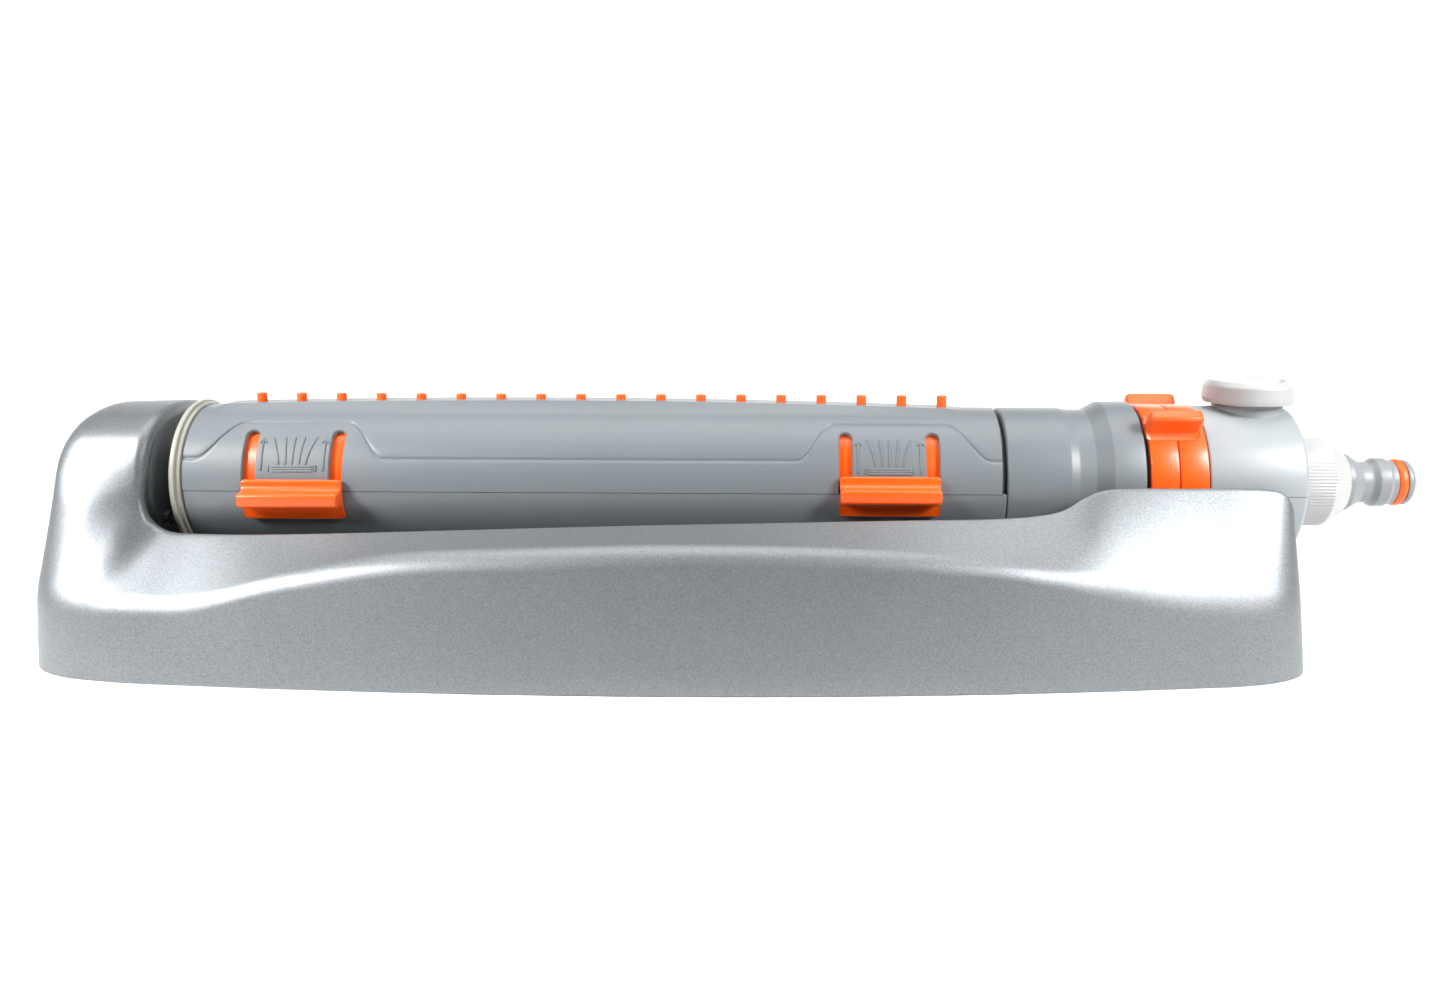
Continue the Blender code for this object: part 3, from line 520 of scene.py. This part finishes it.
def build_base():
    """The base shell: the skin and the same skin moved inwards by the wall, closed at both edges.

    The foot's edge is a flat strip with a small round on its inner side.
    """
    skin = base_grid(10)
    along = np.roll(skin, -1, 0) - np.roll(skin, 1, 0)
    normals = unit(np.cross(along, np.gradient(skin, axis=1)))
    normals *= np.sign((normals[:, -4, :2] * skin[:, -4, :2]).sum())
    inside = skin - BASE_WALL * normals
    low = skin[:, -1] - unit(skin[:, -1] * (1, 1, 0)) * FOOT_WIDTH
    inside[:, -3:] = low[:, None]
    inside[:, -3:, 2] += [1.5, 0.4, 0.0]
    section = np.concatenate([skin, inside[:, ::-1]], axis=1)
    mesh = mesh_from("base_skin", [(section, True, True, False)], sharp=50)
    add_piece("base_skin", mesh, SILVER, "base", "silver_shell", "base_shell")


def build_bosses():
    """The two screw bosses inside the tower that carry its bearing."""
    tube = rounded([(-242.2, 1.8, 0), (-242.2, 3.5, 0), (-213.3, 3.5, 0.4), (-213.3, 1.8, 0.3)])
    mesh = mesh_from("bearing_bosses", [lathe(tube, 24, centre=(y, -12)) for y in (-15, 15)])
    add_piece("bearing_bosses", mesh, SILVER, "base", "silver_shell")


# ---- the spray tube


BODY_R = 23.7
BODY_BORE_R = 21.2
COVER_BORE_R = 25.0
GROOVE_HALF, GROOVE_DEPTH = 2.1, 0.45
SLOT_MIDDLES = {"left": -158.25, "right": 47.95}
SLOT_FROM_MIDDLE = 15.05
SLOT_HALF_WIDTH, SLOT_TOP = 2.25, 49.0


def wave_level(x):
    """The height in degrees of the groove that steps up over each slider."""
    low, high = 25.0, 57.5
    left = smooth_step(x, -192, -177) - smooth_step(x, -141, -127)
    right = smooth_step(x, 16, 29) - smooth_step(x, 68, 83)
    return low + (high - low) * (left + right)


def bar_height(x, y):
    """How far the nozzle bar stands over the cover's cylinder, in millimetres.

    Its top is a shallow arch along x. Its sides fall as (1 - t)^2.2 from |y| = 4.6 to 10, and
    the ends fade out.
    """
    top = 29.2 - 2.3 * ((x + 70) / 138) ** 2
    circle = np.sqrt(TUBE_R**2 - y**2)
    fall = (1 - np.clip((np.abs(y) - 4.6) / 5.4, 0, 1)) ** 2.2
    ends = smooth_step(x, -194, -188) * (1 - smooth_step(x, 70, 78))
    return np.maximum(top - circle, 0) * fall * ends


def cover_grid():
    """The cover's outer face, and its angles. The groove is cos^2 deep across, on rows of its own.

    Rows follow the groove along its wave, so it stays crisp. The bar between them is spaced in y.
    """
    fine = [np.arange(-195.5, -124, 0.8), np.arange(13, 84, 0.8)]
    coarse = [np.arange(-123, 12, 3.0), np.array([COVER_LEFT, COVER_LEFT + 0.5, COVER_RIGHT])]
    xs = np.unique(np.concatenate([*fine, *coarse, [COVER_RIGHT - 0.5]]))[:, None]
    level = wave_level(xs)
    under = 0.5 + (level - GROOVE_HALF - 0.5) * np.linspace(0, 1, 14)[None, :]
    across = level + np.linspace(-GROOVE_HALF, GROOVE_HALF, 9)[None, 1:-1]
    bar_edge = math.degrees(math.acos(10.4 / TUBE_R))
    above = level + GROOVE_HALF + (bar_edge - level - GROOVE_HALF) * np.linspace(0, 1, 8)[None, :]
    depth = np.zeros((1, 14 + 7 + 8))
    depth[0, 14:21] = GROOVE_DEPTH * np.cos(np.linspace(-0.5, 0.5, 9)[1:-1] * np.pi) ** 2
    front = np.concatenate([under, across, above], axis=1)
    ys = np.concatenate([np.linspace(-10, -5.2, 12), [-4.9, -4.6, -4.2, -3, 0]])
    ys = np.concatenate([ys, -ys[-2::-1]])
    crown = np.degrees(np.arccos(-ys[None, :] / TUBE_R)) + 0 * xs
    angles = np.concatenate([front, crown, 180 - front[:, ::-1]], axis=1)
    r = TUBE_R - np.concatenate([depth, 0 * ys[None, :], depth[:, ::-1]], axis=1) + 0 * xs
    grid = polar(xs, angles, r)
    crown_rows = slice(front.shape[1], front.shape[1] + len(ys))
    grid[:, crown_rows, 2] += bar_height(xs, ys[None, :])
    return grid, angles


def slot_cutter(centre):
    """A radial slot, open at the seam, with a round top and a chamfered mouth.

    Its half width w runs up from the seam and closes as w * cos(u), w * sin(u) above the centre
    of its round top. The mouth uses the same curve with a larger w.
    """
    top = SLOT_TOP - math.degrees(SLOT_HALF_WIDTH / TUBE_R)
    u = np.concatenate([np.zeros(14), np.linspace(0, np.pi / 2, 12)])[:, None]
    start = np.concatenate([np.linspace(-8.0, top, 14), np.full(12, top)])[:, None]
    w = SLOT_HALF_WIDTH + np.array([0.0, 0.0, 1.5, 1.5, 0.0, 0.0])
    side = np.array([-1, -1, -1, 1, 1, 1])
    r = np.array([23.4, 26.2, 28.0, 28.0, 26.2, 23.4])
    across = side * w * np.maximum(np.cos(u), 0.002)
    angle = start + np.degrees(w * np.sin(u) / TUBE_R)
    return (polar(centre + across, angle, r), False, True, True)


def carve(obj, parts):
    """Cuts the parts out of the piece, and keeps the result as its mesh."""
    tool = bpy.data.objects.new("tool", mesh_from("tool", parts))
    bpy.context.collection.objects.link(tool)
    modifier = obj.modifiers.new("cut", "BOOLEAN")
    modifier.operation, modifier.solver, modifier.object = "DIFFERENCE", "EXACT", tool
    modifier.use_self = False
    graph = bpy.context.evaluated_depsgraph_get()
    result = bpy.data.meshes.new_from_object(obj.evaluated_get(graph))
    obj.modifiers.clear()
    obj.data = result
    result.set_sharp_from_angle(angle=math.radians(32))
    bpy.data.objects.remove(tool)


def build_body():
    """The tube's lower body: full radius below the seam, and set in under the cover above it."""
    x_low, x_high = span("tube_body")
    upper = np.linspace(0.6, 179.4, 49)
    lower = np.linspace(180, 360, 65)
    angles = np.concatenate([upper, lower])
    outer = np.concatenate([np.full(49, BODY_R), np.full(65, TUBE_R)])
    ends = [(x_low, 0.4), (x_low + 0.4, 0.0), (x_high - 0.4, 0.0), (x_high, 0.4)]
    rows = [polar(x, angles, outer - inset) for x, inset in ends]
    rows += [polar(x, angles, BODY_BORE_R + 0 * outer) for x in (x_high, x_low)]
    mesh = mesh_from("tube_lower_body", [(np.stack(rows), True, True, False)])
    add_piece("tube_lower_body", mesh, GREY, "spray_tube", "grey_abs", "tube_body")


def build_cover():
    """The grooved cover, with a pair of slots under each width slider."""
    outside, angles = cover_grid()
    inside = polar(outside[:, :1, 0], angles, COVER_BORE_R)
    section = np.concatenate([outside, inside[:, ::-1]], axis=1)
    mesh = mesh_from("grooved_cover", [(section, False, True, True)])
    cover = add_piece("grooved_cover", mesh, GREY, "spray_tube", "grey_abs", "tube_cover")
    away = (-SLOT_FROM_MIDDLE, SLOT_FROM_MIDDLE)
    carve(cover, [slot_cutter(middle + x) for middle in SLOT_MIDDLES.values() for x in away])


def build_flange():
    """The end plate at the tower, with its rim and the journal that turns in the tower."""
    flange = rounded(
        [
            (-214.5, 0, 0),
            (-214.5, 7.7, 0.6),
            (-200.4, 7.7, 0.8),
            (-200.4, 28.3, 1.3),
            (-198.2, 28.3, 0.9),
            (-198.2, 27.4, 0.3),
            (FLANGE_RIGHT, 27.4, 0.5),
            (FLANGE_RIGHT, 20.9, 0.2),
            (-187, 20.9, 0.5),
            (-187, 0, 0),
        ],
        closed=False,
    )
    mesh = mesh_from("journal_flange", [lathe(flange, 144)])
    add_piece("journal_flange", mesh, WARM_GREY, "spray_tube", "warm_grey_abs", "end_flange")


def build_collar():
    """The collar at the housing: the tube's radius, a shallow waist and a wider lip."""
    collar = rounded(
        [
            (80, 20.9, 0.4),
            (COLLAR_LEFT, 20.9, 0.1),
            (COLLAR_LEFT, TUBE_R, 0.8),
            (110.5, TUBE_R, 3),
            (113.5, 26.0, 3),
            (119.3, 26.0, 0.7),
            (124.6, 28.9, 0.9),
            (COLLAR_RIGHT, 29.0, 1.0),
            (COLLAR_RIGHT, 20, 0.3),
            (130.3, 20, 0),
            (130.3, 8, 0),
            (127.3, 8, 0),
            (127.3, 18, 0),
            (80, 18, 0),
        ]
    )
    mesh = mesh_from("stepped_collar", [lathe(collar, 144)])
    add_piece("stepped_collar", mesh, GREY, "spray_tube", "grey_abs", "end_collar")


def bead(points, width, height):
    """A raised line on the cover: a half-round profile along a path of (x, degrees).

    The profile is width * cos(u) across and height * sin(u) high, and it tapers off at both ends.
    """
    path = np.asarray(points, float)
    t = np.linspace(0, 1, 25)
    knots = np.linspace(0, 1, len(path))
    x, arc = np.interp(t, knots, path[:, 0]), np.interp(t, knots, np.radians(path[:, 1]) * TUBE_R)
    line = np.stack([x, arc], axis=1)
    run = unit(np.gradient(line, axis=0))
    side = np.stack([-run[:, 1], run[:, 0]], axis=1)
    swell = np.sqrt(np.clip(1 - np.abs(2 * t - 1) ** 14, 0.02, 1))[:, None]
    u = np.linspace(0, 2 * np.pi, 10, endpoint=False)[None, :]
    across = 0.5 * width * np.cos(u) * swell
    lift = height * np.sin(u) * swell
    flat = line[:, None, :] + side[:, None, :] * across[..., None]
    return (polar(flat[..., 0], np.degrees(flat[..., 1] / TUBE_R), TUBE_R + lift), False, True, True)


def build_marks():
    """The width mark between each pair of slots: a fan of lines on a bar, with an arrow each side."""
    for side, middle in SLOT_MIDDLES.items():
        parts = []
        for foot_x, tip_x in zip((-4.7, -2.35, 0, 2.35, 4.7), (-7.8, -3.4, 0, 3.4, 7.8)):
            rise = np.linspace(0, 1, 9)
            line = [(middle + foot_x + (tip_x - foot_x) * s**1.5, 20 + 23 * s) for s in rise]
            parts.append(bead(line, 0.75, 0.38))
        for x in (middle - 10.8, middle + 10.8):
            parts.append(bead([(x, 15), (x, 40.5)], 0.8, 0.4))
            for way in (-1, 1):
                parts.append(bead([(x + way * 1.2, 37.3), (x, 40.9)], 0.7, 0.38))
        for angle in (15.4, 17.2, 19.0):
            parts.append(bead([(middle - 7.9, angle), (middle + 7.9, angle)], 0.85, 0.36))
        for x in (middle - 8.2, middle + 8.2):
            parts.append(bead([(x, 15.0), (x, 20.0)], 0.7, 0.4))
        name = f"width_mark_{side}"
        add_piece(name, mesh_from(name, parts), GREY, "spray_tube", "grey_abs")


def build_nozzles():
    """Soft nozzle tips in an even row along the bar, each with a drilled jet."""
    count, first, pitch = 18, -177.3, 14.46
    tip = rounded(
        [
            (24.95, 0, 0),
            (24.95, 1.8, 0),
            (31, 1.78, 0.35),
            (31, 0.55, 0.1),
            (29.6, 0.4, 0),
            (29.6, 0, 0),
        ],
        closed=False,
        steps=3,
    )
    mesh = mesh_from("nozzle_tips", [upright(tip, 28, first + pitch * i) for i in range(count)])
    add_piece("nozzle_tips", mesh, SOFT_ORANGE, "spray_tube", "orange_rubber", "nozzle_strip")


def build_sliders():
    """Each width slider: a curved plate with a finger ridge, and the shutter behind the slots.

    Two hooks through the slots join them. The plate clears the raised width mark that it slides
    over.
    """
    inside = [(arc, 0, 0) for arc in (2.0, -0.5, -3.0, -5.5, -8.0)]
    section = rounded(
        [
            (-9.6, 0, 0.3),
            (-9.6, 1.8, 0.8),
            (-4.3, 1.8, 1.6),
            (-3.5, 7.1, 1.1),
            (0.3, 7.1, 1.1),
            (1.1, 1.8, 2.0),
            (4.5, 1.8, 0.8),
            (4.5, 0, 0.3),
            *inside,
        ],
        steps=6,
    )
    for side in ("left", "right"):
        x_low, x_high = span(f"slider_{side}")
        turn = 4.0 if side == "right" else 0.0
        parts = [swept(section, turn, TUBE_R + 0.5, x_low + 0.8, x_high - 0.8)]
        middle = (x_low + x_high) / 2
        for x in (middle - SLOT_FROM_MIDDLE, middle + SLOT_FROM_MIDDLE):
            hook = [(x - 1.8, 25.0), (x - 1.8, 28.0), (x + 1.8, 28.0), (x + 1.8, 25.0)]
            parts.append(lathe(hook, 4, turn + 1.5, turn + 7))
        name, body = f"width_slider_{side}", f"{side}_slider"
        add_piece(name, mesh_from(name, parts), ORANGE, body, "orange_abs", f"slider_{side}")
        x_low, x_high = span(f"shutter_{side}")
        sheet = rounded([(x_low, 24, 0.2), (x_low, 24.7, 0.2), (x_high, 24.7, 0.2), (x_high, 24, 0.2)])
        mesh = mesh_from(f"shutter_plate_{side}", [lathe(sheet, 40, turn + 1, turn + 56)])
        add_piece(f"shutter_plate_{side}", mesh, ORANGE, body, "orange_abs", f"shutter_{side}")


# ---- the range rings


def build_rings():
    """Two range rings side by side, each with a tab that stands over both."""
    inner, outer, width = 26.1, 28.0, 9.8
    tab = rounded(
        [
            (-4.6, -0.6, 0),
            (-4.6, 0.25, 0.2),
            (-2.3, 0.6, 1.6),
            (-1.9, 8.5, 1.0),
            (1.9, 8.5, 1.0),
            (2.3, 0.6, 1.6),
            (4.6, 0.25, 0.2),
            (4.6, -0.6, 0),
        ],
        steps=6,
    )
    rings = (("rear", "a", 147.3, 129.0, 140.8, 159.2), ("front", "b", 137.2, 50.0, 136.2, 154.8))
    for side, letter, x_low, angle, tab_low, tab_high in rings:
        x_high = x_low + width
        corners = [(x_low, inner, 0.3), (x_low, outer, 0.6), (x_high, outer, 0.6), (x_high, inner, 0.3)]
        band = rounded(corners)
        blade = swept(tab, angle, outer, tab_low, tab_high, round_x=1.8)
        name = f"range_ring_{side}"
        mesh = mesh_from(name, [lathe(band, 144), blade])
        add_piece(name, mesh, ORANGE, f"{side}_range_ring", "orange_abs", f"range_ring_{letter}")


# ---- the gear housing, its knob and the hose connection


def build_housing():
    """Two half shells that meet at the seam, and the round boss under the knob."""
    wall = rounded(
        [
            (HOUSING_LEFT, 26.1, 0.2),
            (HOUSING_LEFT, 27.6, 0.7),
            (HOUSING_RIGHT, 27.6, 1.8),
            (HOUSING_RIGHT, 13.4, 0.3),
            (189, 13.4, 0),
            (189, 25.2, 0),
            (160, 25.2, 0),
            (160, 26.1, 0),
        ]
    )
    boss = rounded([(22, 6.3, 0), (22, 12, 0), (28.9, 12, 0.4), (28.9, 6.3, 0)])
    mesh = mesh_from("housing_top", [lathe(wall, 96, 0.22, 179.78), upright(boss, 96, KNOB_X)])
    add_piece("housing_top", mesh, PALE, "base", "pale_abs", "housing_upper")
    mesh = mesh_from("housing_bottom", [lathe(wall, 96, 180.22, 359.78)])
    add_piece("housing_bottom", mesh, PALE, "base", "pale_abs", "housing_lower")


def build_knob():
    """The flow knob: a low cap whose top has a half-moon hollow each side of a grip bar.

    The hollows' depth is a smooth step across the bar times a smooth step in from the rim.
    """
    steps, top, flat_r, bar_angle = 144, 37.3, 12.6, 20
    rim = rounded(
        [
            (29.2, 4.3, 0),
            (29.2, 15.2, 0.8),
            (31.0, 15.7, 1.5),
            (35.6, 15.5, 1.5),
            (top, 13.6, 2.0),
            (top, flat_r, 0),
        ],
        closed=False,
        steps=6,
    )
    flat = np.column_stack([np.full(28, top), np.linspace(flat_r, 0, 29)[1:]])
    outline = np.concatenate([rim, flat])
    angles = 2 * np.pi * np.arange(steps)[:, None] / steps
    r = outline[None, :, 1] + 0 * angles
    z = outline[None, :, 0] + 0 * angles
    across = np.abs(r * np.sin(angles - math.radians(bar_angle)))
    hollow = smooth_step(across, 2.6, 4.6) * smooth_step(-r, -flat_r, -10.4) * (z >= top)
    grid = np.stack([KNOB_X + r * np.cos(angles), r * np.sin(angles), z - 2.6 * hollow], axis=-1)
    mesh = mesh_from("flow_cap", [(grid, True, True, False)], sharp=60)
    add_piece("flow_cap", mesh, WHITE, "flow_valve", "white_abs", "flow_knob")


def build_nut():
    """The union nut. Its ribs stand out by 0.4 * (1 - cos) / 2, six steps round to each rib."""
    ribs, per_rib, rib_height = 84, 6, 0.4
    steps = ribs * per_rib
    outline = rounded(
        [
            (191.8, 13.4, 0.2),
            (191.8, 15.7, 0.5),
            (206.0, 15.7, 0.8),
            (213.4, 11.3, 0.4),
            (213.4, 10.8, 0.1),
            (208.6, 10.8, 0),
            (208.6, 13.4, 0),
        ]
    )
    grid, *rest = lathe(outline, steps)
    ridge = 0.5 - 0.5 * np.cos(2 * np.pi * np.arange(steps)[:, None] / per_rib)
    x, r = outline[None, :, 0], outline[None, :, 1]
    ribbed = smooth_step(x, 193.4, 194.4) * (1 - smooth_step(x, 205.6, 207.6)) * (r > 13.6)
    grown = 1 + rib_height * ridge * ribbed / np.maximum(r, 1)
    grid[..., 1:] *= grown[..., None]
    mesh = mesh_from("ribbed_nut", [(grid, *rest)])
    add_piece("ribbed_nut", mesh, WHITE, "union", "white_abs", "union_nut")


def build_nipple():
    """The hose nipple with its lock collar, and the O-ring in its groove."""
    nipple = rounded(
        [
            (205.6, 5, 0),
            (205.6, 12.9, 0.3),
            (208.2, 12.9, 0.3),
            (208.2, 10.4, 0.3),
            (215.4, 10.4, 1.4),
            (220.0, 7.5, 2.6),
            (223.6, 7.3, 1.6),
            (225.4, 8.75, 0.8),
            (229.2, 8.75, 0.8),
            (230.6, 8.0, 0.8),
            (232.2, 8.1, 0.2),
            (232.2, 6.9, 0.1),
            (235.8, 6.9, 0.1),
            (235.8, 8.1, 0.2),
            (237.3, 8.1, 0.8),
            (NIPPLE_TIP, 6.9, 0.4),
            (NIPPLE_TIP, 5, 0.4),
        ]
    )
    mesh = mesh_from("quick_nipple", [lathe(nipple, 96)])
    add_piece("quick_nipple", mesh, MID_GREY, "base", "grey_abs", "hose_nipple")
    turns = np.linspace(0, 2 * np.pi, 24, endpoint=False)
    ring = np.column_stack([234 + 1.55 * np.cos(turns), 7.75 + 0.7 * np.sin(turns)])
    mesh = mesh_from("nipple_seal", [lathe(ring, 96)])
    add_piece("nipple_seal", mesh, SOFT_ORANGE, "base", "orange_rubber", "nipple_o_ring")


# ---- stage, lights and camera


def build_stage():
    """A pale sheet that is the floor and curves up behind into the backdrop."""
    v = np.linspace(0, 1, 60)
    run = np.interp(v, [0, 0.5, 1], [-2500, 1600, 2600])
    rise = 1800 * smooth_step(run, 1500, 2600) ** 1.3
    x = np.linspace(-3500, 3500, 8)
    grid = np.stack(
        [
            x[:, None] + 0 * v[None, :],
            run[None, :] + 0 * x[:, None],
            FLOOR + rise[None, :] + 0 * x[:, None],
        ],
        axis=-1,
    )
    sheet = bpy.data.objects.new("studio_sheet", mesh_from("studio_sheet", [(grid, False, False, False)]))
    bpy.context.collection.objects.link(sheet)
    material, tree, shader, where = new_material("white_paper_matt")
    fibre = add_node(tree, "ShaderNodeTexNoise", {"Vector": where, "Scale": per_mm(60), "Detail": 2.0})
    tint = add_node(
        tree,
        "ShaderNodeMix",
        {"Factor": fibre.outputs["Fac"], "A": linear("F7F7F7"), "B": linear("FAFAFA")},
        data_type="RGBA",
    )
    tree.links.new(tint.outputs["Result"], shader.inputs["Base Color"])
    shader.inputs["Roughness"].default_value = 0.9
    sheet.data.materials.append(material)


def add_softbox(name, centre, target, size, power, spread=180):
    """A rectangular soft light at a point in metres, facing its target.

    A spread under 180 degrees is that of a softbox with a grid, which lights only near its target.
    """
    light = bpy.data.lights.new(name, "AREA")
    light.shape, light.size, light.size_y = "RECTANGLE", *size
    light.energy, light.spread = power, math.radians(spread)
    lamp = bpy.data.objects.new(name, light)
    bpy.context.collection.objects.link(lamp)
    back = unit(np.array(centre, float) - np.array(target, float))
    side = unit(np.cross((0.0, 0.001, 1.0), back))
    turn = np.column_stack([side, np.cross(back, side), back])
    lamp.matrix_world = Matrix.Translation(centre) @ Matrix(turn.tolist()).to_4x4()


def light_scene():
    """Softboxes over the object, at both of its ends and over the backdrop, in a pale room."""
    world = bpy.data.worlds.new("pale_room")
    bpy.context.scene.world = world
    world.use_nodes = True
    background = world.node_tree.nodes["Background"]
    background.inputs["Color"].default_value = (1.0, 1.0, 1.0, 1.0)
    background.inputs["Strength"].default_value = 0.07
    add_softbox("top_softbox", (0.0, 0.1, 1.3), (0, 0, 0.05), (1.6, 1.0), 15)
    add_softbox("left_softbox", (-0.74, -0.4, 0.5), (-0.25, -0.04, 0.06), (0.35, 0.35), 1.0, 40)
    add_softbox("right_softbox", (0.68, -0.42, 0.5), (0.22, -0.04, 0.07), (0.35, 0.35), 0.85, 40)
    add_softbox("backdrop_softbox", (0.0, 0.9, 1.6), (0, 1.8, 0.2), (3.5, 1.0), 52, 116)
    bpy.context.scene.view_settings.view_transform = "Standard"


def add_camera():
    """The camera in front of the tube and a little above it, looking 12 degrees down."""
    pitch, yaw, roll = math.radians(12.0), 0.0093, 0.0032
    forward = np.array(
        [-math.sin(yaw) * math.cos(pitch), math.cos(yaw) * math.cos(pitch), -math.sin(pitch)]
    )
    right = np.array([math.cos(yaw), math.sin(yaw), 0.0])
    up = np.cross(right, forward)
    right, up = math.cos(roll) * right + math.sin(roll) * up, math.cos(roll) * up - math.sin(roll) * right
    data = bpy.data.cameras.new("camera")
    data.lens, data.sensor_width, data.shift_x = 29.15, 36.0, -0.026
    data.clip_start = 0.01
    camera = bpy.data.objects.new("camera", data)
    bpy.context.collection.objects.link(camera)
    turn = Matrix(np.column_stack([right, up, -forward]).tolist()).to_4x4()
    camera.matrix_world = Matrix.Translation(place([7.1, -420.3, 84.1]).tolist()) @ turn
    bpy.context.scene.camera = camera


dress_nodes()
build_base()
build_bosses()
build_body()
build_cover()
build_flange()
build_collar()
build_marks()
build_nozzles()
build_sliders()
build_rings()
build_housing()
build_knob()
build_nut()
build_nipple()
build_stage()
light_scene()
add_camera()
